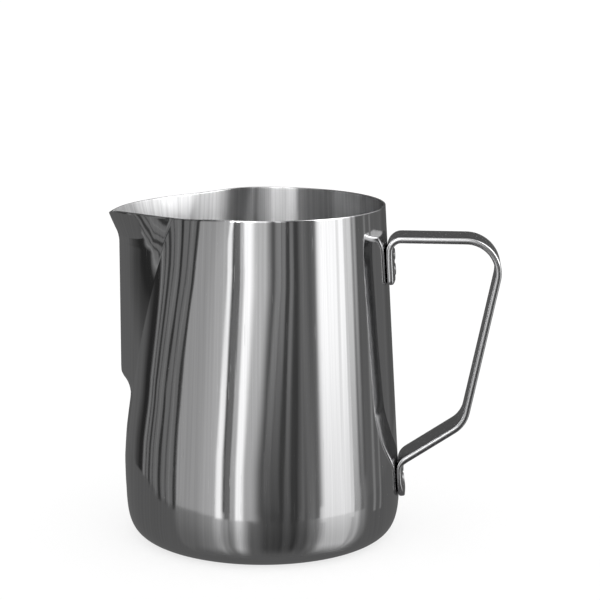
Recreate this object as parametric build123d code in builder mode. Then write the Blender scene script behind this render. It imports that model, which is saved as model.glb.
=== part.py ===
from build123d import *
from math import acos, atan2, cos, degrees, hypot, radians, sin, tan
import os

# Milk frothing pitcher, 0.6 litre: a one-piece drawn steel cup with a pressed pouring spout,
# and a bent strap handle spot-welded to its wall.
# Millimetres. Origin on the cup's axis in the plane it stands on, +Z up, spout towards -X,
# handle towards +X. The object is symmetric about the plane Y = 0.

# --- Driving dimensions -------------------------------------------------------------------

# Cup
cup_height = 110.0
rim_radius = 39.75            # outer radius of the round part of the rim
wall_taper = 0.062            # growth of the radius for each mm below the rim
wall = 0.8                    # sheet thickness
corner_height = 22.3          # where the straight wall turns into the rounded base corner
foot_radius = 37.05           # outer edge of the flat ring that the cup stands on
corner_floor_pull = 9.1       # how far the corner curve runs along the floor
corner_wall_pull = 12.7       # how far the corner curve runs down the wall
corner_steps = 6              # outlines that carry the corner curve

# Heights of the outlines that carry the wall, from the base corner to above the rim
wall_heights = [
    corner_height, 33.0, 44.0, 46.5, 49.0, 51.0, 53.0, 55.0, 58.0, 65.0, 76.0, 86.5, 97.0,
    101.0, 105.5, 112.0,
]

# Raised panel pressed into the base
panel_radius = 18.7
panel_rise = 1.2
panel_slope_end = 26.0        # where the slope round the panel meets the foot ring
panel_edge_slope = 0.3        # steepness of that slope at the panel, and at the ring
panel_foot_slope = 0.1

# Spout
spout_foot = 44.0             # height where the wall is still perfectly round
spout_start = 51.0            # height of the lowest crease beside the spout
spout_full = 55.0             # height where the ridge reaches its full projection
ridge_reach = 47.6            # distance of the ridge from the cup's axis
lip_start = 97.0              # height where the ridge turns outward into the lip
lip_flare = 5.2               # extra reach of the lip at the full height of the cup
lip_curve = 1.25              # power of the lip's outward curve
nose_radius = 4.6             # rounding across the ridge
nose_radius_lip = 6.4         # rounding across the ridge at the lip
crease_angle_low = 18.0       # degrees from the spout's plane, at spout_start
crease_angle_rim = 46.0       # the same at the rim
crease_depth = 1.05           # how far the crease sinks inside the round wall at the rim
blend_angle = 10.0            # degrees over which the round wall eases into the crease

# Rim, seen from the side: it drops towards the spout
rim_drop_start = 8.0          # distance from the axis where the drop begins
rim_drops = [(24.0, 1.0), (38.0, 1.6), (46.0, 2.3), (52.5, 4.2)]   # distance from axis, drop
rim_drop_slope = 0.35         # steepness of the rim at the lip
trim_size = 70.0              # half size of the block that trims the rim

# Handle strap
strap_width = 15.6
strap_thickness = 2.05
strap_edge_radius = 0.6
tab_clearance = 0.03          # gap between the flat tab and the round wall at their nearest
grip_top = 99.8               # height of the strap's centre line along its top run
grip_reach = 78.9             # where the top run and the grip would meet
grip_lean = 11.5              # degrees that the grip leans in from the vertical
elbow_height = 39.2           # where the grip and the lower run would meet
top_bend = 3.4                # bend radii of the strap's centre line, from top to bottom
corner_bend = 10.5
elbow_bend = 9.5
low_bend = 3.9
upper_tab_end = 85.0
lower_run_end = 25.5          # where the lower run and the lower tab would meet
lower_tab_end = 12.8
upper_tab_corner = 1.0
lower_tab_corner = 6.0

# Spot welds
weld_radius = 1.9
weld_crown = 0.25             # how far a weld stands out of the strap
weld_depth = 0.4              # how far a weld reaches into the wall
upper_weld_heights = (89.0, 94.0)
lower_weld_heights = (18.2, 22.6)


# --- Cup ----------------------------------------------------------------------------------

def wall_radius(height):
    """Outer radius of the round wall, above the base corner."""
    return rim_radius + wall_taper * (cup_height - height)


def corner_curve(inset):
    """Section of the rounded base corner, from the floor up to the straight wall."""
    top_radius = wall_radius(corner_height) - inset
    return Bezier(
        (foot_radius, inset),
        (foot_radius + corner_floor_pull - inset, inset),
        (top_radius + wall_taper * corner_wall_pull, corner_height - corner_wall_pull),
        (top_radius, corner_height),
    )


def share(height, low, high):
    """How far a height lies from low to high, held between 0 and 1."""
    return min(1.0, max(0.0, (height - low) / (high - low)))


def polar(radius, angle):
    """A point of an outline, at an angle in degrees from the spout's plane."""
    return (-radius * cos(radians(angle)), radius * sin(radians(angle)))


def spout_outline(height, radius, inset):
    """Points of one side of the outline at a height, from the round wall to the tip."""
    climb = share(height, spout_start, cup_height)
    lip = share(height, lip_start, cup_height)
    swell = share(height, spout_foot, spout_full)
    swell = swell * swell * (3 - 2 * swell)

    reach = ridge_reach + lip_flare * lip ** lip_curve - inset
    nose = nose_radius + (nose_radius_lip - nose_radius) * lip - inset
    crease_angle = crease_angle_low + (crease_angle_rim - crease_angle_low) * climb
    crease = polar(radius - crease_depth * climb, crease_angle)

    # The flank runs straight from the crease to the circle across the ridge.
    centre_x = nose - reach
    away = (crease[0] - centre_x, crease[1])
    turn = atan2(away[1], -away[0]) - acos(nose / hypot(*away))
    cheek = (centre_x - nose * cos(turn), nose * sin(turn))

    outline = [polar(radius, crease_angle + blend_angle), crease, cheek, (-reach, 0.0)]
    eased = []
    for x, y in outline:
        angle = degrees(atan2(y, -x))
        round_point = polar(radius, angle)
        eased.append(tuple(r + swell * (p - r) for r, p in zip(round_point, (x, y))))
    return eased


def cup_level(height, radius, inset):
    """Outline of the cup at one height: the spout in front, a round wall behind."""
    near = spout_outline(height, radius, inset)
    far = [(x, -y) for x, y in near[-2::-1]]
    start, end = near[0], far[-1]
    with BuildSketch(Plane.XY.offset(height)) as level:
        with BuildLine():
            Spline(near + far, tangents=[(-start[1], start[0]), (-end[1], end[0])])
            ThreePointArc(end, (radius, 0), start)
        make_face()
    return level.sketch


def cup_levels(inset):
    """Outlines from the floor to above the rim: the outer skin, or the inner one at an inset."""
    corner = corner_curve(inset)
    corner_points = [corner @ (step / corner_steps) for step in range(corner_steps)]
    levels = [cup_level(point.Y, point.X, inset) for point in corner_points]
    for height in wall_heights:
        levels.append(cup_level(height, wall_radius(height) - inset, inset))
    return levels


def base_panel(low, high):
    """Revolved shape of the raised base panel, from a low plane up to its own surface."""
    with BuildSketch(Plane.XZ) as section:
        with BuildLine():
            panel = Line((0, high), (panel_radius, high))
            slope = Spline(
                panel @ 1,
                (panel_slope_end, high - panel_rise),
                tangents=[(1, -panel_edge_slope), (1, -panel_foot_slope)],
            )
            Polyline(slope @ 1, (panel_slope_end, low), (0, low), panel @ 0)
        make_face()
    return section.sketch


with BuildPart() as pitcher_body:
    add(cup_levels(0))
    loft()
    add(cup_levels(wall))
    loft(mode=Mode.SUBTRACT)
    add(base_panel(wall / 2, panel_rise + wall))
    revolve(axis=Axis.Z)
    add(base_panel(-wall, panel_rise))
    revolve(axis=Axis.Z, mode=Mode.SUBTRACT)
    with BuildSketch(Plane.XZ):
        with BuildLine():
            level_rim = Line((trim_size, cup_height), (-rim_drop_start, cup_height))
            dropped = Spline(
                level_rim @ 1,
                *[(-x, cup_height - drop) for x, drop in rim_drops],
                tangents=[(-1, 0), (-1, -rim_drop_slope)],
            )
            Polyline(
                dropped @ 1,
                (-trim_size, (dropped @ 1).Y),
                (-trim_size, cup_height + trim_size),
                (trim_size, cup_height + trim_size),
                level_rim @ 0,
            )
        make_face()
    extrude(amount=trim_size, both=True, mode=Mode.SUBTRACT)
pitcher_body.part.label = "pitcher_body"


# --- Handle -------------------------------------------------------------------------------

def tab_point(height, stand_off):
    """A point beside the wall where the handle joins it, at a distance out from the wall."""
    return (wall_radius(height) + stand_off * hypot(1, wall_taper), height)


tab_stand_off = tab_clearance + strap_thickness / 2
weld_reach = tab_clearance + strap_thickness + weld_crown
elbow = (grip_reach - (grip_top - elbow_height) * tan(radians(grip_lean)), elbow_height)
strap_corners = [
    tab_point(upper_tab_end, tab_stand_off),
    tab_point(grip_top, tab_stand_off),
    (grip_reach, grip_top),
    elbow,
    tab_point(lower_run_end, tab_stand_off),
    tab_point(lower_tab_end, tab_stand_off),
]


def weld_plane(height):
    """Plane against the wall at a height, facing out along the weld's axis."""
    x, z = tab_point(height, 0)
    return Plane(origin=(x, 0, z), x_dir=(0, 1, 0), z_dir=(1, 0, wall_taper))


with BuildPart() as handle:
    with BuildLine(Plane.XZ) as route:
        FilletPolyline(*strap_corners, radius=[top_bend, corner_bend, elbow_bend, low_bend])
    with BuildSketch(Plane(origin=route.line @ 0, x_dir=(0, 1, 0), z_dir=route.line % 0)):
        Rectangle(strap_width, strap_thickness)
    sweep()
    for end, corner in ((route.line @ 0, upper_tab_corner), (route.line @ 1, lower_tab_corner)):
        tab_end = handle.faces().sort_by_distance(end)[0]
        fillet(tab_end.edges().sort_by(SortBy.LENGTH)[:2], corner)
    side_edges = handle.faces().filter_by(Axis.Y).edges()
    long_edge = strap_thickness + strap_edge_radius
    fillet(side_edges.filter_by(lambda edge: edge.length > long_edge), strap_edge_radius)
    for height in upper_weld_heights + lower_weld_heights:
        with BuildSketch(weld_plane(height)):
            Circle(weld_radius)
        extrude(amount=weld_reach, both=True, mode=Mode.SUBTRACT)
handle.part.label = "handle"


# --- Spot welds ---------------------------------------------------------------------------

def tab_welds(heights):
    """Weld nuggets that fill the holes of one tab and meet the cup's wall."""
    with BuildPart() as welds:
        for height in heights:
            with BuildSketch(weld_plane(height).offset(-weld_depth)):
                Circle(weld_radius)
            extrude(amount=weld_depth + weld_reach)
        fillet(welds.edges().filter_by(GeomType.CIRCLE).sort_by(Axis.X)[-len(heights):],
               weld_crown)
        add(pitcher_body.part, mode=Mode.SUBTRACT)
    return welds


upper_tab_welds = tab_welds(upper_weld_heights)
upper_tab_welds.part.label = "upper_tab_welds"

lower_tab_welds = tab_welds(lower_weld_heights)
lower_tab_welds.part.label = "lower_tab_welds"


# --- Output -------------------------------------------------------------------------------

os.makedirs("parts", exist_ok=True)
export_step(pitcher_body.part, "parts/pitcher_body.step")
export_step(handle.part, "parts/handle.step")
export_step(upper_tab_welds.part, "parts/upper_tab_welds.step")
export_step(lower_tab_welds.part, "parts/lower_tab_welds.step")
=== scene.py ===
import math
from typing import NamedTuple

import bpy
import numpy as np
from mathutils import Matrix, Vector


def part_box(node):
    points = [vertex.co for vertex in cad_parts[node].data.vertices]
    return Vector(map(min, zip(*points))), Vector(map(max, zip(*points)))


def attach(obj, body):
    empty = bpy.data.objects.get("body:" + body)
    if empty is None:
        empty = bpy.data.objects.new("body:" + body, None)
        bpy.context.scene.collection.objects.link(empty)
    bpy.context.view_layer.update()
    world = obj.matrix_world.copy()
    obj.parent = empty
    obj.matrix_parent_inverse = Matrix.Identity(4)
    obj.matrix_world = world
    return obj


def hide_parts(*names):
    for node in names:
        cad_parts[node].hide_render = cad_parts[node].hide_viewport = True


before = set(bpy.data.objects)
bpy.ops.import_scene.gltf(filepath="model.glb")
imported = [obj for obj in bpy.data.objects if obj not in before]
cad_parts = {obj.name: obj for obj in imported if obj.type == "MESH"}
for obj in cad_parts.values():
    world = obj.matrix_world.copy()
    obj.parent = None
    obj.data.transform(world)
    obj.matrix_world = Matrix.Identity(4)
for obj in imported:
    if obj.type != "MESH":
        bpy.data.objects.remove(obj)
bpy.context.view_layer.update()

# Milk frothing pitcher: polished steel cup with a pressed spout, and a strap handle.
# Metres. Origin on the cup's axis in the plane it stands on, spout towards -X, handle towards +X.

MM = 0.001

# --- Camera --------------------------------------------------------------------------------

CAMERA_DISTANCE = 0.600
CAMERA_PITCH = 11.168          # degrees below the horizontal
CAMERA_TURN = 4.289            # degrees round towards the handle
CAMERA_ROLL = 0.317
CAMERA_AIM_RIGHT = 12.04 * MM  # the point aimed at: this far to the right of the axis
CAMERA_AIM_HEIGHT = 77.97 * MM
CAMERA_LENS = 109.3
CAMERA_SENSOR = 36.0


def make_camera():
    pitch, turn, roll = (math.radians(a) for a in (CAMERA_PITCH, CAMERA_TURN, CAMERA_ROLL))
    forward = Vector((0, math.cos(pitch), -math.sin(pitch)))
    upward = Vector((0, math.sin(pitch), math.cos(pitch)))
    right = Vector((1, 0, 0))
    turned_right = math.cos(roll) * right + math.sin(roll) * upward
    turned_up = -math.sin(roll) * right + math.cos(roll) * upward
    place = Vector((CAMERA_AIM_RIGHT, 0, CAMERA_AIM_HEIGHT)) - CAMERA_DISTANCE * forward
    spin = Matrix.Rotation(turn, 3, "Z")
    axes = Matrix((spin @ turned_right, spin @ turned_up, spin @ -forward)).transposed()
    data = bpy.data.cameras.new("camera")
    data.lens = CAMERA_LENS
    data.sensor_width = CAMERA_SENSOR
    camera = bpy.data.objects.new("camera", data)
    camera.matrix_world = Matrix.Translation(spin @ place) @ axes.to_4x4()
    bpy.context.collection.objects.link(camera)
    bpy.context.scene.camera = camera


# --- Small helpers -------------------------------------------------------------------------

def share(value, low, high):
    """How far a value lies from low to high, held between 0 and 1."""
    return np.clip((value - low) / (high - low), 0, 1)


def ease(t):
    return t * t * (3 - 2 * t)


def smooth_curve(x, knots):
    """A monotone cubic through the knots, in metres; beyond them it stays level."""
    knot_x, knot_y = np.array(knots).T * MM
    step = np.diff(knot_x)
    rise = np.diff(knot_y) / step
    slope = np.zeros(len(knot_x))
    same = rise[:-1] * rise[1:] > 0
    harmonic = 2 * rise[:-1] * rise[1:] / np.where(same, rise[:-1] + rise[1:], 1)
    slope[1:-1] = np.where(same, harmonic, 0)
    slope[-1] = rise[-1]
    x = np.clip(x, knot_x[0], knot_x[-1])
    i = np.clip(np.searchsorted(knot_x, x) - 1, 0, len(step) - 1)
    h = step[i]
    t = (x - knot_x[i]) / h
    return (knot_y[i] * (1 + 2 * t) * (1 - t) ** 2 + slope[i] * h * t * (1 - t) ** 2
            + knot_y[i + 1] * t * t * (3 - 2 * t) + slope[i + 1] * h * t * t * (t - 1))


def mesh_object(name, vertices, faces, materials, material_index=None, uv_layer=None, uv=None):
    """A smooth mesh in the scene; uv holds a pair for each corner of each face."""
    mesh = bpy.data.meshes.new(name)
    mesh.from_pydata([tuple(v) for v in vertices], [], faces)
    for material in materials:
        mesh.materials.append(material)
    mesh.polygons.foreach_set("use_smooth", [True] * len(mesh.polygons))
    if material_index is not None:
        mesh.polygons.foreach_set("material_index", material_index)
    if uv_layer is not None:
        layer = mesh.uv_layers.new(name=uv_layer)
        layer.data.foreach_set("uv", [value for pair in uv for value in pair])
    mesh.update()
    piece = bpy.data.objects.new(name, mesh)
    bpy.context.collection.objects.link(piece)
    return piece


def tube_faces(rings, around, first=0):
    """Faces of a closed tube of equal rings of points, with a cap on each end."""
    faces = []
    for ring in range(rings - 1):
        for side in range(around):
            a = first + ring * around + side
            b = first + ring * around + (side + 1) % around
            faces.append((a, b, b + around, a + around))
    last = first + (rings - 1) * around
    faces.append(tuple(range(first, first + around))[::-1])
    faces.append(tuple(range(last, last + around)))
    return faces


# --- Cup -----------------------------------------------------------------------------------

RIM_HEIGHT = 110.0 * MM
RIM_RADIUS = 39.75 * MM
RIM_EDGE = 0.22 * MM           # rounding of the rim's two edges
WALL_TAPER = 0.062             # growth of the radius for each metre below the rim
WALL = 0.8 * MM

CORNER_HEIGHT = 22.3 * MM
FOOT_RADIUS = 37.05 * MM
CORNER_FLOOR_PULL = 9.1 * MM
CORNER_WALL_PULL = 12.7 * MM

PANEL_RADIUS = 18.7 * MM
PANEL_CENTRE = 0.15            # share of that radius at the innermost row of points
PANEL_RISE = 1.2 * MM
PANEL_SLOPE_END = 26.0 * MM
PANEL_SLOPE_POWER = 0.8        # below 1, the slope is steeper near the panel

SPOUT_START = 51.0 * MM
NOSE_RADIUS = 4.2 * MM
NOSE_RADIUS_LIP = 6.2 * MM
LIP_START = 97.0 * MM
CREASE_ANGLE_LOW = 18.0        # degrees from the spout's plane, at SPOUT_START
CREASE_ANGLE_RIM = 48.0        # the same at the rim
CREASE_DEPTH = 1.0 * MM
CREASE_WIDTH = 34.0            # degrees over which the wall sinks into the crease
CREASE_FILLET_LOW = 1.2 * MM
CREASE_FILLET_RIM = 22.0 * MM

# The tables below are in millimetres.
# Height and distance of the spout's ridge from the cup's axis.
RIDGE = [(50.0, 47.6), (97.0, 47.65), (99.5, 48.05), (102.0, 49.1), (104.5, 50.2), (107.0, 51.2),
         (110.0, 52.2)]
# Height and bending radius of the spout's flanks.
FLANK_RADIUS = [(51.0, 420.0), (60.0, 340.0), (70.0, 240.0), (88.0, 125.0), (97.0, 100.0),
                (110.0, 95.0)]
# Height and how fully the wall has swung out into the spout, in thousandths.
SPOUT_FOOT = [(45.6, 0.0), (47.2, 50.0), (48.4, 215.0), (50.2, 520.0), (52.0, 850.0),
              (53.4, 980.0), (55.0, 1000.0)]
# Distance from the axis, towards the spout, and drop of the rim there.
RIM_DROP = [(8.0, 0.0), (24.0, 1.0), (38.0, 1.6), (46.0, 2.3), (49.0, 3.0), (51.0, 3.9),
            (53.0, 5.0)]
RIM_DROP_ROUNDS = 5            # rounds in which the rim's height and its distance settle
# Height and swelling of the wall under the spout, where pressing the spout pushed it out.
SWELLING = [(8.0, 0.0), (14.0, 0.16), (20.0, 0.66), (27.0, 1.12), (34.0, 1.08), (40.0, 0.74),
            (46.0, 0.28), (52.0, 0.0)]
SWELLING_HALF_ANGLE = 62.0

# Columns of points over one side of the cup, from the spout's ridge to the back.
NOSE_COLUMNS = 14
FLANK_COLUMNS = 40
CREASE_COLUMNS = 26
WALL_COLUMNS = 150
WALL_COLUMN_POWER = 1.25       # above 1, the wall's columns crowd towards the crease
COLUMNS = NOSE_COLUMNS + FLANK_COLUMNS + CREASE_COLUMNS + WALL_COLUMNS + 1

# Rows of points, from the middle of the base up to the rim.
PANEL_ROWS = 6
SLOPE_ROWS = 11
FOOT_ROWS = 4
CORNER_ROWS = 26
RIM_ROWS_START = 95.0 * MM     # from here up the rows follow the rim's drop
# Height that a run of rows over the wall reaches, and how many rows it has.
WALL_ROWS = [(45.0 * MM, 13), (57.0 * MM, 29), (RIM_ROWS_START, 27), (RIM_HEIGHT, 29)]
EDGE_TURNS = (22.5, 45.0, 67.5, 90.0)   # degrees round a rounded edge

OUTSIDE, INSIDE, UNDERSIDE = 0, 1, 2    # the cup's materials


def wall_radius(z):
    return RIM_RADIUS + WALL_TAPER * (RIM_HEIGHT - z)


def swelling(angle, z):
    fade = np.cos(np.clip(angle / math.radians(SWELLING_HALF_ANGLE), 0, 1) * math.pi / 2) ** 2
    return smooth_curve(z, SWELLING) * fade


def meeting(first, first_radius, second, second_radius):
    """Where two circles cross: the crossing on the left of the way from the first to the second."""
    gap = second - first
    distance = np.abs(gap)
    along = (distance ** 2 + first_radius ** 2 - second_radius ** 2) / (2 * distance)
    across = np.sqrt(np.maximum(first_radius ** 2 - along ** 2, 0))
    return first + gap / distance * (along + 1j * across)


class Spout:
    """The circles that the spout's outline follows at given heights."""

    def __init__(self, z):
        climb = share(z, SPOUT_START, RIM_HEIGHT)
        lip = share(z, LIP_START, RIM_HEIGHT)
        self.nose = NOSE_RADIUS + (NOSE_RADIUS_LIP - NOSE_RADIUS) * lip
        self.nose_centre = smooth_curve(z, RIDGE) - self.nose + 0j
        self.sunk = CREASE_DEPTH * climb
        crease_angle = np.radians(CREASE_ANGLE_LOW + (CREASE_ANGLE_RIM - CREASE_ANGLE_LOW) * climb)
        crease_radius = wall_radius(z) - self.sunk
        crease = crease_radius * np.exp(1j * crease_angle)
        self.bend = smooth_curve(z, FLANK_RADIUS)
        self.flank_centre = meeting(self.nose_centre, self.bend - self.nose, crease, self.bend)
        self.fillet = CREASE_FILLET_LOW + (CREASE_FILLET_RIM - CREASE_FILLET_LOW) * climb
        self.fillet_centre = meeting(0j, crease_radius + self.fillet,
                                     self.flank_centre, self.bend + self.fillet)
        self.nose_end = np.angle(self.nose_centre - self.flank_centre)
        self.flank_end = np.angle(self.fillet_centre - self.flank_centre)
        self.crease_end = np.angle(self.fillet_centre)


def cup_outline(z):
    """
    Outer skin of one side of the cup, column by column from the spout's ridge to the back.
    z holds each column's height. Points are complex: real towards the spout, imaginary to the side.
    """
    z_nose, z_flank, z_crease, z_wall = np.split(
        z, np.cumsum([NOSE_COLUMNS, FLANK_COLUMNS, CREASE_COLUMNS]))

    def turned(start, end, columns):
        return np.exp(1j * (start + (end - start) * np.arange(columns) / columns))

    at = Spout(z_nose)
    nose_points = at.nose_centre + at.nose * turned(0, at.nose_end, NOSE_COLUMNS)

    at = Spout(z_flank)
    flank_points = at.flank_centre + at.bend * turned(at.nose_end, at.flank_end, FLANK_COLUMNS)

    at = Spout(z_crease)
    crease_points = at.fillet_centre - at.fillet * turned(at.flank_end, at.crease_end,
                                                          CREASE_COLUMNS)

    at = Spout(z_wall)
    t = np.linspace(0, 1, WALL_COLUMNS + 1) ** WALL_COLUMN_POWER
    past_crease = (math.pi - at.crease_end) * t
    sinking = at.sunk * (1 - ease(share(past_crease, 0, math.radians(CREASE_WIDTH))))
    wall_points = (wall_radius(z_wall) - sinking) * np.exp(1j * (at.crease_end + past_crease))

    pressed = np.concatenate([nose_points, flank_points, crease_points, wall_points])
    angle = np.angle(pressed)
    round_points = (wall_radius(z) + swelling(angle, z)) * np.exp(1j * angle)
    return round_points + (pressed - round_points) * smooth_curve(z, SPOUT_FOOT)


def corner_curve(t):
    """Radius and height of the rounded base corner, t from 0 at the foot to 1 at the wall."""
    top = wall_radius(CORNER_HEIGHT)
    points = np.array([
        (FOOT_RADIUS, 0.0),
        (FOOT_RADIUS + CORNER_FLOOR_PULL, 0.0),
        (top + WALL_TAPER * CORNER_WALL_PULL, CORNER_HEIGHT - CORNER_WALL_PULL),
        (top, CORNER_HEIGHT),
    ])
    weights = np.array([(1 - t) ** 3, 3 * t * (1 - t) ** 2, 3 * t * t * (1 - t), t ** 3])
    return weights.T @ points


def wall_heights():
    """Heights of the rows over the wall, before they follow the rim's drop."""
    heights, low = [], CORNER_HEIGHT
    for high, count in WALL_ROWS:
        heights += list(np.linspace(low, high, count + 1)[1:])
        low = high
    return heights


def full_ring(half_ring, z):
    """Both sides of the cup from one, as points in space."""
    x = -np.concatenate([half_ring.real, half_ring.real[-2:0:-1]])
    y = np.concatenate([-half_ring.imag, half_ring.imag[-2:0:-1]])
    return np.stack([x, y, np.concatenate([z, z[-2:0:-1]])], axis=1)


def outer_rows():
    """Rows of points over the outer skin, from inside the base panel up to the rim."""
    angles = np.angle(cup_outline(np.full(COLUMNS, SPOUT_START)))
    angles[-1] = math.pi
    rows = []

    def round_row(radius, height):
        z = np.full(COLUMNS, height)
        rows.append(full_ring((radius + swelling(angles, z)) * np.exp(1j * angles), z))

    for radius in np.linspace(PANEL_CENTRE, 1, PANEL_ROWS) * PANEL_RADIUS:
        round_row(radius, PANEL_RISE)
    for t in np.linspace(0, 1, SLOPE_ROWS + 1)[1:]:
        round_row(PANEL_RADIUS + (PANEL_SLOPE_END - PANEL_RADIUS) * t,
                  PANEL_RISE * (0.5 + 0.5 * math.cos(math.pi * t ** PANEL_SLOPE_POWER)))
    for radius in np.linspace(PANEL_SLOPE_END, FOOT_RADIUS, FOOT_ROWS + 2)[1:-1]:
        round_row(radius, 0.0)
    for radius, z in corner_curve(np.linspace(0, 1, CORNER_ROWS)):
        round_row(radius, z)

    rim = np.full(COLUMNS, RIM_HEIGHT)
    for _ in range(RIM_DROP_ROUNDS):
        rim = RIM_HEIGHT - smooth_curve(np.maximum(cup_outline(rim).real, 0), RIM_DROP)
    for height in wall_heights():
        z = height + (rim - RIM_HEIGHT) * share(height, RIM_ROWS_START, RIM_HEIGHT)
        rows.append(full_ring(cup_outline(z), z))
    return np.array(rows)


def row_normals(rows):
    """Outward normals of a grid that closes on itself along its rows, and the way up it."""
    upward = np.gradient(rows, axis=0)
    around = np.roll(rows, -1, axis=1) - np.roll(rows, 1, axis=1)
    normals = np.cross(around, upward)
    return normals / np.linalg.norm(normals, axis=2, keepdims=True), upward


def rim_rows(top, outward, upward):
    """Rows over the rim, which is cut flat and has both edges broken by a small radius."""
    rows = []
    for turn in np.radians(EDGE_TURNS):
        rows.append(top + RIM_EDGE * (upward * math.sin(turn) - outward * (1 - math.cos(turn))))
    for turn in np.radians(EDGE_TURNS[::-1]):
        rows.append(top + RIM_EDGE * upward * math.sin(turn)
                    - outward * (WALL - RIM_EDGE * (1 - math.cos(turn))))
    return rows


def make_cup(materials):
    outer = outer_rows()
    normals, upward = row_normals(outer)
    inner = outer - WALL * normals
    rim_upward = upward[-1] / np.linalg.norm(upward[-1], axis=1, keepdims=True)
    rim = rim_rows(outer[-1], normals[-1], rim_upward)

    grid = np.concatenate([outer, np.array(rim), inner[::-1]])
    n_rows, n_columns = grid.shape[:2]
    vertices = [(0, 0, outer[0, 0, 2]), *grid.reshape(-1, 3), (0, 0, inner[0, 0, 2])]
    last = len(vertices) - 1
    under_rows = PANEL_ROWS + SLOPE_ROWS + FOOT_ROWS
    inner_start = len(outer) + len(rim) - 1
    faces, zone, uv = [], [], []
    # The first row and the last one are fans round a point in the middle of the base.
    for row in range(-1, n_rows):
        for column in range(n_columns):
            a = 1 + row * n_columns + column
            b = 1 + row * n_columns + (column + 1) % n_columns
            u0, u1 = column / n_columns, (column + 1) / n_columns
            v0, v1 = row / n_rows, (row + 1) / n_rows
            if row == -1:
                faces.append((0, b + n_columns, a + n_columns))
                uv += [((u0 + u1) / 2, v0), (u1, v1), (u0, v1)]
            elif row == n_rows - 1:
                faces.append((last, a, b))
                uv += [((u0 + u1) / 2, v1), (u0, v0), (u1, v0)]
            else:
                faces.append((a, b, b + n_columns, a + n_columns))
                uv += [(u0, v0), (u1, v0), (u1, v1), (u0, v1)]
            zone.append(UNDERSIDE if row < under_rows else OUTSIDE if row < inner_start else INSIDE)
    cup = mesh_object("cup", vertices, faces, materials, zone, "round", uv)
    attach(cup, "root")
    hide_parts("pitcher_body")


# --- Handle --------------------------------------------------------------------------------

strap_low, strap_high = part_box("handle")

STRAP_WIDTH = strap_high.y - strap_low.y
STRAP_THICKNESS = 2.05 * MM
STRAP_EDGE = 0.72 * MM
STRAP_EDGE_SHARE = 0.98        # the most of the half thickness that an edge's rounding takes
STRAP_ACROSS = (-1.0, -0.5, 0.0, 0.5, 1.0)          # points over a flat face, in half widths
STRAP_EDGE_TURNS = (75.0, 60.0, 45.0, 30.0, 15.0)   # degrees round an edge, from a flat face

TAB_GAP = 0.03 * MM
TAB_HUG = 0.6                  # share of the cup's roundness that the tabs are bent to
HUG_END = 9.0 * MM             # distance from a tab's tip where that bending starts to fade
HUG_NONE = 15.0 * MM
LOWER_TAB_PRESSED = 0.6 * MM   # how far the welding pressed the lower tab's outer face in
# Distance from the tip of the lower tab, and how far the outer face is pressed in there, in mm.
PRESSING = [(0.0, 0.2), (2.0, 0.05), (4.0, 0.3), (6.0, 0.6), (10.5, 0.6), (14.0, 0.0)]

GRIP_TOP = 99.8 * MM
GRIP_REACH = 78.9 * MM
GRIP_LEAN = 11.5
ELBOW_HEIGHT = 39.2 * MM
BENDS = [3.4 * MM, 10.5 * MM, 9.5 * MM, 3.9 * MM]
BEND_STEP = 5.0                # degrees of a bend between two of its points
BEND_LEAST_STEPS = 8
RUN_STEP = 1.5 * MM            # distance between the points of a straight run
UPPER_TAB_END = 85.0 * MM
UPPER_TAB_CORNER = 1.2 * MM
LOWER_RUN_END = 25.5 * MM
LOWER_TAB_END = strap_low.z
LOWER_TAB_CORNER = 6.5 * MM

# Sections close to a tab's tip lie at these distances from it, in mm, and further in at the
# points of the route.
TIP_SECTIONS = [0.0, 0.04, 0.15, 0.3, 0.45, 0.62, 0.8, 1.1, 1.5, 2.1, 2.8, 3.6, 4.5, 5.5, 6.5]
TIP_ZONE = 7.0 * MM
SAME_PLACE = 7                 # decimals of a metre to which two sections count as one


def strap_route():
    """Points and directions of the strap's centre line, from the upper tab to the lower one."""
    stand_off = (TAB_GAP + STRAP_THICKNESS / 2) * math.hypot(1, WALL_TAPER)

    def beside_wall(z):
        return Vector((wall_radius(z) + stand_off, z))

    lean_in = math.tan(math.radians(GRIP_LEAN))
    corners = [
        beside_wall(UPPER_TAB_END),
        beside_wall(GRIP_TOP),
        Vector((GRIP_REACH, GRIP_TOP)),
        Vector((GRIP_REACH - (GRIP_TOP - ELBOW_HEIGHT) * lean_in, ELBOW_HEIGHT)),
        beside_wall(LOWER_RUN_END),
        beside_wall(LOWER_TAB_END),
    ]
    points = []

    def add_run(start, end):
        count = max(2, int((end - start).length / RUN_STEP))
        for step in range(count):
            points.append((start.lerp(end, step / count), (end - start).normalized()))

    here = corners[0]
    for before, corner, after, radius in zip(corners, corners[1:], corners[2:], BENDS):
        into, out = (corner - before).normalized(), (after - corner).normalized()
        turn = into.angle_signed(out)
        reach = radius * math.tan(abs(turn) / 2)
        start, side = corner - into * reach, math.copysign(1, turn)
        add_run(here, start)
        centre = start + side * radius * Vector((into.y, -into.x))
        steps = max(BEND_LEAST_STEPS, int(abs(turn) / math.radians(BEND_STEP)))
        for step in range(steps):
            rotation = Matrix.Rotation(-turn * step / steps, 2)
            points.append((centre + rotation @ (start - centre), rotation @ into))
        here = corner + out * reach
    add_run(here, corners[-1])
    points.append((corners[-1], (corners[-1] - here).normalized()))
    return points


def rounding(distance, radius):
    """How far a rounded corner lies inside its square one, at a distance from its end."""
    if distance >= radius:
        return 0.0
    return radius - math.sqrt(radius ** 2 - (radius - distance) ** 2)


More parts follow.
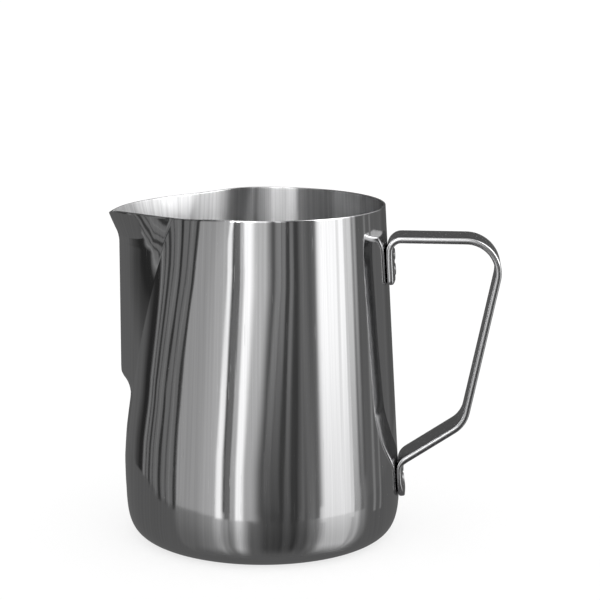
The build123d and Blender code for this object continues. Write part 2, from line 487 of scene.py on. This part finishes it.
def strap_section(half_width, half_thickness, edge):
    """Rounded rectangle: (across, through) pairs, going round the strap."""
    flat_width, flat_thickness = half_width - edge, half_thickness - edge
    half = [(flat_width * across, half_thickness) for across in STRAP_ACROSS]
    for face, turns in ((1, STRAP_EDGE_TURNS), (-1, STRAP_EDGE_TURNS[::-1])):
        for turn in np.radians(turns):
            half.append((flat_width + edge * math.cos(turn),
                         face * (flat_thickness + edge * math.sin(turn))))
    return half + [(-across, -through) for across, through in half]


def make_handle(steel):
    route = strap_route()
    places = [place for place, _ in route]
    length = [0.0]
    for a, b in zip(places, places[1:]):
        length.append(length[-1] + (b - a).length)
    total = length[-1]
    tips = [distance * MM for distance in TIP_SECTIONS]
    between_tips = [s for s in length if TIP_ZONE < s < total - TIP_ZONE]
    stations = sorted({round(s, SAME_PLACE)
                       for s in tips + [total - distance for distance in tips] + between_tips})
    vertices = []
    for s in stations:
        i = min(max(np.searchsorted(length, s) - 1, 0), len(length) - 2)
        t = (s - length[i]) / (length[i + 1] - length[i])
        place = places[i].lerp(places[i + 1], t)
        direction = route[i][1].lerp(route[i + 1][1], t).normalized()
        outward = Vector((-direction.y, direction.x))
        to_top, to_low = s, total - s
        to_tip = min(to_top, to_low)
        width = (STRAP_WIDTH / 2 - rounding(to_top, UPPER_TAB_CORNER)
                 - rounding(to_low, LOWER_TAB_CORNER))
        thickness = STRAP_THICKNESS / 2 - rounding(to_tip, STRAP_EDGE)
        edge = min(STRAP_EDGE, thickness * STRAP_EDGE_SHARE)
        hug = TAB_HUG * float(1 - ease(share(to_tip, HUG_END, HUG_NONE)))
        pressed = float(smooth_curve(to_low, PRESSING))
        for across, through in strap_section(width, thickness, edge):
            spot = place + outward * through
            bent = spot.x - math.sqrt(spot.x ** 2 - across ** 2)
            vertices.append((spot.x - hug * bent - pressed * (through > 0), across, spot.y))
    faces = tube_faces(len(stations), len(vertices) // len(stations))
    strap = mesh_object("strap_handle", vertices, faces, [steel])
    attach(strap, "root")
    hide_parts("handle")


# --- Spot welds ----------------------------------------------------------------------------

UPPER_WELDS = (89.0 * MM, 94.0 * MM)
LOWER_WELDS = (18.2 * MM, 22.6 * MM)
WELD_RADIUS = 1.9 * MM
WELD_CROWN = 0.25 * MM         # how far a weld stands out, and the rounding of its edge
WELD_DEPTH = 0.4 * MM          # how far it reaches into the wall
WELD_SIDES = 40
WELD_FOOT = 0.4                # share of its radius where its foot closes
# Points over the top: rise past the rounded edge, in crowns, and radius, in weld radii.
WELD_TOP = [(0.2, 0.6), (0.3, 0.2)]


def make_welds(node, heights, pressed, steel):
    """Weld nuggets that go through a tab into the wall and end in a shallow crown."""
    top = TAB_GAP + STRAP_THICKNESS + WELD_CROWN - pressed
    # Distance along the weld's axis and radius, from its foot in the wall to the crown's middle.
    section = [(-WELD_DEPTH, WELD_FOOT * WELD_RADIUS), (-WELD_DEPTH, WELD_RADIUS)]
    for turn in np.radians((0.0, *EDGE_TURNS)):
        section.append((top - WELD_CROWN * (1 - math.sin(turn)),
                        WELD_RADIUS - WELD_CROWN * (1 - math.cos(turn))))
    section += [(top + rise * WELD_CROWN, radius * WELD_RADIUS) for rise, radius in WELD_TOP]
    axis = Vector((1, 0, WALL_TAPER)).normalized()
    across = Vector((0, 1, 0))
    upward = axis.cross(across)
    vertices, faces = [], []
    for z in heights:
        foot = Vector((wall_radius(z), 0, z))
        faces += tube_faces(len(section), WELD_SIDES, first=len(vertices))
        for distance, radius in section:
            for side in range(WELD_SIDES):
                turn = 2 * math.pi * side / WELD_SIDES
                vertices.append(foot + axis * distance
                                + radius * (across * math.cos(turn) + upward * math.sin(turn)))
    welds = mesh_object(f"visual_{node}", vertices, faces, [steel])
    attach(welds, "root")
    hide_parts(node)


# --- Materials -----------------------------------------------------------------------------

class Nodes:
    """Short-hand for building a material's node tree."""

    def __init__(self, name):
        self.material = bpy.data.materials.new(name)
        self.material.use_nodes = True
        self.tree = self.material.node_tree
        self.tree.nodes.clear()

    def add(self, kind, settings=(), **inputs):
        node = self.tree.nodes.new(kind)
        for key, value in dict(settings).items():
            setattr(node, key, value)
        for key, value in inputs.items():
            self.feed(node, key.replace("_", " "), value)
        return node

    def feed(self, node, socket, value):
        socket = node.inputs[int(socket) if socket.isdigit() else socket]
        if isinstance(value, bpy.types.NodeSocket):
            self.tree.links.new(value, socket)
        else:
            socket.default_value = value

    def combine(self, kind, operation, *values):
        node = self.add(kind, {"operation": operation})
        for index, value in enumerate(values):
            self.feed(node, str(index), value)
        return node

    def number(self, operation, *values):
        return self.combine("ShaderNodeMath", operation, *values).outputs[0]

    def vector(self, operation, *values):
        return self.combine("ShaderNodeVectorMath", operation, *values).outputs["Vector"]

    def noise(self, vector, scale, detail, rough=0.5):
        node = self.add("ShaderNodeTexNoise", Vector=vector, Scale=scale, Detail=detail,
                        Roughness=rough)
        return node.outputs["Fac"]

    def between(self, value, low, high, at_low, at_high, interpolation="LINEAR"):
        node = self.add("ShaderNodeMapRange", {"interpolation_type": interpolation}, Value=value,
                        From_Min=low, From_Max=high, To_Min=at_low, To_Max=at_high)
        return node.outputs["Result"]

    def ramp(self, *values):
        return self.between(*values, interpolation="SMOOTHSTEP")

    def light(self, strength):
        """White light that isn't sampled as a lamp."""
        self.material.cycles.emission_sampling = "NONE"
        return self.add("ShaderNodeEmission", Strength=strength).outputs[0]

    def mix(self, share_of_second, first, second):
        node = self.add("ShaderNodeMixShader")
        for index, value in enumerate((share_of_second, first, second)):
            self.feed(node, str(index), value)
        return node.outputs[0]

    def finish(self, surface):
        self.add("ShaderNodeOutputMaterial", Surface=surface)
        return self.material


# Scales of the patterns, per radian round the cup or per metre, and how much each one changes.
BRUSH_FINE, BRUSH_BROAD = 170.0, 38.0      # strokes of the brushing in a radian
BRUSH_STRETCH = 9.0                        # changes of a stroke in a metre along it
BRUSH_DEPTH = 0.0006 * MM
BRUSH_TONE = 0.06                          # lighter and darker strokes
BRUSH_SHINE = 0.012                        # duller strokes
SHEET_WAVES, SHEET_STRETCH = 7.0, 8.0      # shallow waves of the drawn sheet
SHEET_WAVE_DEPTH = 0.05 * MM
MARKS = 55.0                               # hand marks in a metre
MARK_CLEANER, MARK_DULLER = 0.15, 0.4      # change of roughness between marks and under one
SCRATCHES, SCRATCH_STRETCH = 260.0, 60.0
SCRATCH_DEPTH = 0.002 * MM
RINGS_BELOW = 2.4 * MM                     # below this height the brushing runs in rings
STROKES_ABOVE = 5.0 * MM                   # and above this one up the wall
STRAP_RADIAN = 24.0 * MM                   # width of the strap that counts as a radian
QUARTER_TURN = 0.25                        # turns the stretched highlights across the brushing
# The part of each noise, between 0 and 1, over which its pattern changes.
TONE_RANGE, BROAD_RANGE, SHINE_RANGE = (0.25, 0.75), (0.3, 0.7), (0.3, 0.8)
MARK_RANGE, SCRATCH_RANGE = (0.35, 0.75), (0.74, 0.78)


def brushed_place(n, place):
    """Radians round the cup for strokes that run up it, and rings where the cup lies flat."""
    flat = n.vector("MULTIPLY", place, (1.0, 1.0, 0.0))
    reach = n.combine("ShaderNodeVectorMath", "LENGTH", flat).outputs["Value"]
    height = n.add("ShaderNodeSeparateXYZ", Vector=place).outputs["Z"]
    upright = n.between(height, RINGS_BELOW, STROKES_ABOVE, 0.0, 1.0)
    rings = n.number("MULTIPLY", n.number("SUBTRACT", 1.0, upright),
                     n.number("DIVIDE", reach, FOOT_RADIUS))
    only_upright = n.add("ShaderNodeCombineXYZ", X=upright, Y=upright).outputs[0]
    wall_place = n.vector("MULTIPLY", n.vector("NORMALIZE", flat), only_upright)
    return n.vector("ADD", wall_place, n.add("ShaderNodeCombineXYZ", Z=rings).outputs[0])


def steel(name, color, roughness, anisotropy, brush=1.0, waves=1.0, wear=1.0, on_strap=False):
    """
    Steel brushed up the cup or along the strap, with shallow waves of the sheet, strokes of
    slightly different shine, faint hand marks and a few hairline scratches. brush, waves and wear
    strengthen these; without wear, the surface has no relief and no marks.
    """
    n = Nodes(name)
    place = n.add("ShaderNodeTexCoord").outputs["Object"]
    around = None if on_strap else brushed_place(n, place)

    def stretched(rate):
        """Place measured in radians across the strokes, and slowly along them."""
        if on_strap:
            return n.vector("MULTIPLY", place, (rate, 1 / STRAP_RADIAN, rate))
        return n.vector("ADD", around, n.vector("MULTIPLY", place, (0.0, 0.0, rate)))

    fine = n.noise(stretched(BRUSH_STRETCH / BRUSH_FINE), BRUSH_FINE, detail=3.0, rough=0.7)
    broad = n.noise(stretched(BRUSH_STRETCH / BRUSH_BROAD), BRUSH_BROAD, detail=2.0)
    sheet = n.noise(stretched(SHEET_STRETCH / SHEET_WAVES), SHEET_WAVES, detail=1.0)
    marks = n.noise(place, MARKS, detail=3.0, rough=0.6)
    hair = n.noise(stretched(SCRATCH_STRETCH / SCRATCHES), SCRATCHES, detail=1.0)
    scratch = n.between(hair, *SCRATCH_RANGE, 0.0, 1.0)

    change = BRUSH_TONE * brush
    tone = n.number("ADD", n.between(fine, *TONE_RANGE, 1 - change, 1 + change),
                    n.between(broad, *BROAD_RANGE, -change, change))
    grey_tone = n.add("ShaderNodeCombineXYZ", X=tone, Y=tone, Z=tone).outputs[0]
    marked = n.between(marks, *MARK_RANGE, roughness * (1 - MARK_CLEANER * wear),
                       roughness * (1 + MARK_DULLER * wear))
    shine = n.number("ADD", marked, n.between(fine, *SHINE_RANGE, 0.0, BRUSH_SHINE * brush))

    relief = n.number("ADD", n.number("MULTIPLY", fine, BRUSH_DEPTH * brush),
                      n.number("MULTIPLY", sheet, SHEET_WAVE_DEPTH * waves))
    relief = n.number("SUBTRACT", relief, n.number("MULTIPLY", scratch, SCRATCH_DEPTH))
    bump = n.add("ShaderNodeBump", Height=relief, Distance=wear)
    tangent = n.add("ShaderNodeTangent", {"direction_type": "RADIAL", "axis": "Z"})
    shader = n.add("ShaderNodeBsdfPrincipled", Metallic=1.0, Roughness=shine,
                   Base_Color=n.vector("MULTIPLY", color, grey_tone),
                   Anisotropic=anisotropy, Anisotropic_Rotation=QUARTER_TURN,
                   Tangent=tangent.outputs[0], Normal=bump.outputs[0])
    return n.finish(shader.outputs[0])


# --- Studio --------------------------------------------------------------------------------

class Card(NamedTuple):
    """
    A curved card hung round the pitcher, seen only in its reflections.
    start, end: azimuth in degrees from the front; level: grey from 0 to 255 as the steel shows it;
    soft: softness of its two edges in degrees; low, high: how much brighter it is at its foot and
    high up; foot, top: its lowest and highest point in metres; glow: grey level of its glow on the
    table.
    """

    start: float
    end: float
    level: float
    soft: tuple
    low: float = 1.0
    high: float = 1.0
    foot: float | None = None
    top: float | None = None
    glow: float = 0.0


# Later cards hang in front of earlier ones.
CARDS = [
    # room behind the cards
    Card(-180, 180, 72, (0.01, 0.01)),
    Card(97, 152, 86, (4, 10), high=6.0),
    Card(-152, -122, 84, (8, 6)),
    # spout side: dark curtain, pale stripes between dark ones, and a broad grey panel
    Card(-124, -109, 54, (6, 3), top=-0.01),
    Card(-119, -109.5, 36, (4, 1.5), top=0.06),
    Card(-110, -70, 100, (2, 1), high=0.6),
    Card(-108.5, -107, 124, (0.6, 0.6)),
    Card(-105.5, -104, 46, (0.6, 0.6)),
    Card(-102, -98, 50, (1.2, 1.2)),
    Card(-96, -94.5, 62, (0.6, 0.6)),
    Card(-92, -91, 120, (0.4, 0.4)),
    Card(-89, -85, 44, (1.2, 1.2)),
    Card(-81.5, -79.5, 70, (0.8, 0.8)),
    Card(-77.5, -76.5, 122, (0.4, 0.4)),
    Card(-73.5, -70, 44, (1.2, 1.2)),
    Card(-70, -33, 112, (1, 2), top=-0.2),
    Card(-70, -33, 142, (1, 2), high=0.35, foot=-0.265, glow=104),
    Card(-56, -30, 166, (22, 2), foot=-0.275, glow=134),
    Card(-34, -27, 238, (2.5, 2.5), high=5.5, glow=166),
    # key light on the left of the front, with its fall-off
    Card(-26.5, -21, 98, (1.0, 1.0), high=25.0, glow=140),
    Card(-21.5, 4, 178, (0.8, 9), low=0.74, high=2.2, glow=96),
    Card(-19, -8, 254, (2.6, 5), low=0.9, high=3.0, glow=196),
    # dim front of the room
    Card(3, 12, 124, (3, 2), low=0.3, high=4.0, glow=68),
    Card(10.5, 18, 112, (2, 2), low=0.3, high=2.4, glow=66),
    Card(17.5, 22.5, 58, (1.0, 1.5), low=0.9, glow=52),
    Card(22, 27, 110, (1.0, 1.5), low=0.45, high=0.6, glow=76),
    Card(27, 34, 58, (1.5, 1.5), low=0.8, glow=52),
    Card(34, 53, 92, (3, 2), high=0.7, glow=84),
    Card(38, 42, 102, (1.5, 1.5), low=0.6, glow=76),
    Card(43, 49, 84, (1.5, 1.5), low=1.5, glow=112),
    # broad window on the right
    Card(50, 85, 252, (8, 4), low=0.72, high=3.2, glow=196),
    Card(73, 77, 228, (1.5, 1.5), low=0.9, high=3.5),
    Card(81, 86, 204, (1.5, 1.5), high=3.0),
    Card(84.5, 93, 200, (1, 3), low=0.5, high=3.2, glow=176),
    Card(91, 99, 150, (3, 4), low=0.4, high=4.5, glow=124),
    Card(108, 113, 118, (2, 2)),
    Card(117, 121, 112, (1.5, 1.5)),
]
STEEL_GREY = 0.60
CARD_DISTANCE = 1.4
CARD_SPACING = 0.01
CARD_TOP = 2.2
CARD_FOOT = -0.30
CARD_TOP_FADE = 0.09           # height over which a card with its own top fades out there
CARD_STEP = 3.0                # degrees between a card's columns of points
CARD_LEAST_STEPS = 8
LOW_FULL, LOW_START = -0.25, 0.03     # heights between which a card takes on its low brightness
HIGH_START, HIGH_FULL = 0.10, 0.30    # the same for its high brightness

# The cards on the spout's side lean over, so their reflections slant across the cup.
LEAN_FOOT, LEAN_TOP = -0.160, 0.015   # heights between which they lean
LEAN_ROWS = 9
LEAN_AZIMUTHS = (-180, -124, -106, -70, -30, -14, -5, 6, 40)
LEAN_DEGREES = (0, 9, 7, 8, 6, 6, 10, 12, 0)

TABLE_DROP = 0.30
TABLE_RADIUS = 1.42
TABLE_STEP = 6                 # degrees between the points of its rim
TABLE_LEVEL = 82
GLOW_END, GLOW_FULL = 0.16, 0.42      # distances from the axis where a glow ends and is full
GLOW_NEAR, GLOW_FAR = 0.75, 1.1       # its brightness where it is full and at the table's rim
GLOW_SPREAD = 4.0                     # degrees by which it is wider than its card on each side
GLOW_SOFTNESS = 1.5                   # degrees of softness that each degree of spread adds
GLOW_SPACING = 0.001

FLOOR_HALF_SIZE = 40.0
FLOOR_GREY = 0.9
FLOOR_GLOW = 0.7               # share of the floor's light that shadows don't touch
FLOOR_GLOW_LIGHT = 1.06
WORLD_LIGHT = 1.1

# The standard curve between a grey level and linear light.
CURVE_SWITCH, CURVE_SLOPE, CURVE_OFFSET, CURVE_POWER = 0.04, 12.92, 0.055, 2.4


def grey_light(level):
    """Emission that the steel reflects as a grey level."""
    value = level / 255
    if value < CURVE_SWITCH:
        return value / CURVE_SLOPE / STEEL_GREY
    return ((value + CURVE_OFFSET) / (1 + CURVE_OFFSET)) ** CURVE_POWER / STEEL_GREY


def soft_ends(n, softness):
    """The coordinate along a sheet, and a cover that is soft at its two ends."""
    spread = n.add("ShaderNodeUVMap", {"uv_map": "spread"}).outputs[0]
    split = n.add("ShaderNodeSeparateXYZ", Vector=spread)
    across = split.outputs["X"]
    cover = n.number("MULTIPLY", n.ramp(across, 0.0, softness[0], 0.0, 1.0),
                     n.ramp(across, 1 - softness[1], 1.0, 1.0, 0.0))
    return split.outputs["Y"], cover


def covered_light(n, cover, strength):
    clear = n.add("ShaderNodeBsdfTransparent").outputs[0]
    return n.finish(n.mix(cover, clear, n.light(strength)))


def card_material(name, card, softness):
    """Light that changes with height, and fades out at the top if the card has its own."""
    n = Nodes(name)
    z, cover = soft_ends(n, softness)
    if card.top is not None:
        cover = n.number("MULTIPLY", cover, n.ramp(z, card.top - CARD_TOP_FADE, card.top, 1.0, 0.0))
    strength = n.number("MULTIPLY", n.ramp(z, HIGH_START, HIGH_FULL, 1.0, card.high),
                        grey_light(card.level))
    strength = n.number("MULTIPLY", n.ramp(z, LOW_FULL, LOW_START, card.low, 1.0), strength)
    return covered_light(n, cover, strength)


def glow_material(name, card, softness):
    """Light on the table, which fades towards the pitcher."""
    n = Nodes(name)
    distance, cover = soft_ends(n, softness)
    cover = n.number("MULTIPLY", cover, n.ramp(distance, GLOW_END, GLOW_FULL, 0.0, 1.0))
    outwards = n.ramp(distance, GLOW_FULL, TABLE_RADIUS, GLOW_NEAR, GLOW_FAR)
    return covered_light(n, cover, n.number("MULTIPLY", outwards, grey_light(card.glow)))


def only_in_reflections(piece):
    piece.visible_camera = False
    piece.visible_diffuse = False
    piece.visible_shadow = False
    piece.visible_transmission = False


def lean(azimuth, z):
    """Degrees by which a card's point is moved round the pitcher at a height."""
    return np.interp(azimuth, LEAN_AZIMUTHS, LEAN_DEGREES) * share(z, LEAN_FOOT, LEAN_TOP)


def hang(name, rows, start, end, leaning, material):
    """A sheet between two azimuths, through rows of (distance, height, coordinate along it)."""
    count = max(CARD_LEAST_STEPS, int((end - start) / CARD_STEP))
    vertices, faces, uv = [], [], []
    for step in range(count + 1):
        azimuth = start + (end - start) * step / count
        for distance, z, _ in rows:
            turn = math.radians(azimuth + lean(azimuth, z) if leaning else azimuth)
            vertices.append((distance * math.sin(turn), -distance * math.cos(turn), z))
    for step in range(count):
        for row in range(len(rows) - 1):
            a = step * len(rows) + row
            b = a + len(rows)
            faces.append((a, a + 1, b + 1, b))
            u0, u1, v0, v1 = step / count, (step + 1) / count, rows[row][2], rows[row + 1][2]
            uv += [(u0, v0), (u0, v1), (u1, v1), (u1, v0)]
    sheet = mesh_object(name, vertices, faces, [material], uv_layer="spread", uv=uv)
    only_in_reflections(sheet)


def make_card(index, card):
    distance = CARD_DISTANCE - CARD_SPACING * index
    foot = CARD_FOOT if card.foot is None else card.foot
    top = CARD_TOP if card.top is None else card.top
    inner_rows = (*np.linspace(LEAN_FOOT, LEAN_TOP, LEAN_ROWS), HIGH_START, HIGH_FULL)
    heights = [foot, *(z for z in inner_rows if foot < z < top), top]
    width = card.end - card.start
    name = f"card_{index}"
    hang(name, [(distance, z, z) for z in heights], card.start, card.end, index > 0,
         card_material(name, card, [soft / width for soft in card.soft]))


def make_glow(index, card):
    width = card.end - card.start + 2 * GLOW_SPREAD
    softness = [(soft + GLOW_SOFTNESS * GLOW_SPREAD) / width for soft in card.soft]
    height = -TABLE_DROP + GLOW_SPACING * (index + 1)
    name = f"glow_{index}"
    hang(name, [(r, height, r) for r in (GLOW_END, GLOW_FULL, TABLE_RADIUS)],
         card.start - GLOW_SPREAD, card.end + GLOW_SPREAD, False,
         glow_material(name, card, softness))


def make_table():
    """Dark table well below the pitcher, seen only in its reflections."""
    n = Nodes("table")
    material = n.finish(n.light(grey_light(TABLE_LEVEL)))
    turns = [math.radians(a) for a in range(0, 360, TABLE_STEP)]
    rim = [(TABLE_RADIUS * math.sin(a), TABLE_RADIUS * math.cos(a), -TABLE_DROP) for a in turns]
    table = mesh_object("table", rim, [tuple(range(len(rim)))[::-1]], [material])
    only_in_reflections(table)


def make_floor():
    n = Nodes("floor")
    plain = n.add("ShaderNodeBsdfDiffuse", Color=(FLOOR_GREY, FLOOR_GREY, FLOOR_GREY, 1))
    glow = n.add("ShaderNodeEmission", Strength=FLOOR_GLOW_LIGHT)
    material = n.finish(n.mix(FLOOR_GLOW, plain.outputs[0], glow.outputs[0]))
    size = FLOOR_HALF_SIZE
    corners = [(-size, -size, 0), (size, -size, 0), (size, size, 0), (-size, size, 0)]
    floor = mesh_object("floor", corners, [(0, 1, 2, 3)], [material])
    floor.visible_glossy = False


def make_world():
    world = bpy.data.worlds.new("studio")
    world.use_nodes = True
    background = world.node_tree.nodes["Background"]
    background.inputs["Color"].default_value = (1, 1, 1, 1)
    background.inputs["Strength"].default_value = WORLD_LIGHT
    bpy.context.scene.world = world


# --- Build ---------------------------------------------------------------------------------

CUP_STEEL = (0.60, 0.60, 0.605)
BASE_STEEL = (0.62, 0.62, 0.62)
STRAP_STEEL = (0.50, 0.50, 0.505)

bpy.context.scene.view_settings.view_transform = "Standard"
make_camera()
make_world()
make_floor()
make_table()
for index, card in enumerate(CARDS):
    make_card(index, card)
    if card.glow:
        make_glow(index, card)

make_cup([
    steel("cup_outside", CUP_STEEL, roughness=0.05, anisotropy=0.0),
    steel("cup_inside", CUP_STEEL, roughness=0.29, anisotropy=1.0, brush=2.4, waves=0.0, wear=0.0),
    steel("cup_underside", BASE_STEEL, roughness=0.33, anisotropy=0.5),
])
strap = steel("strap", STRAP_STEEL, roughness=0.17, anisotropy=0.0, brush=0.5, waves=0.0,
              on_strap=True)
make_handle(strap)
make_welds("upper_tab_welds", UPPER_WELDS, 0.0, strap)
make_welds("lower_tab_welds", LOWER_WELDS, LOWER_TAB_PRESSED, strap)
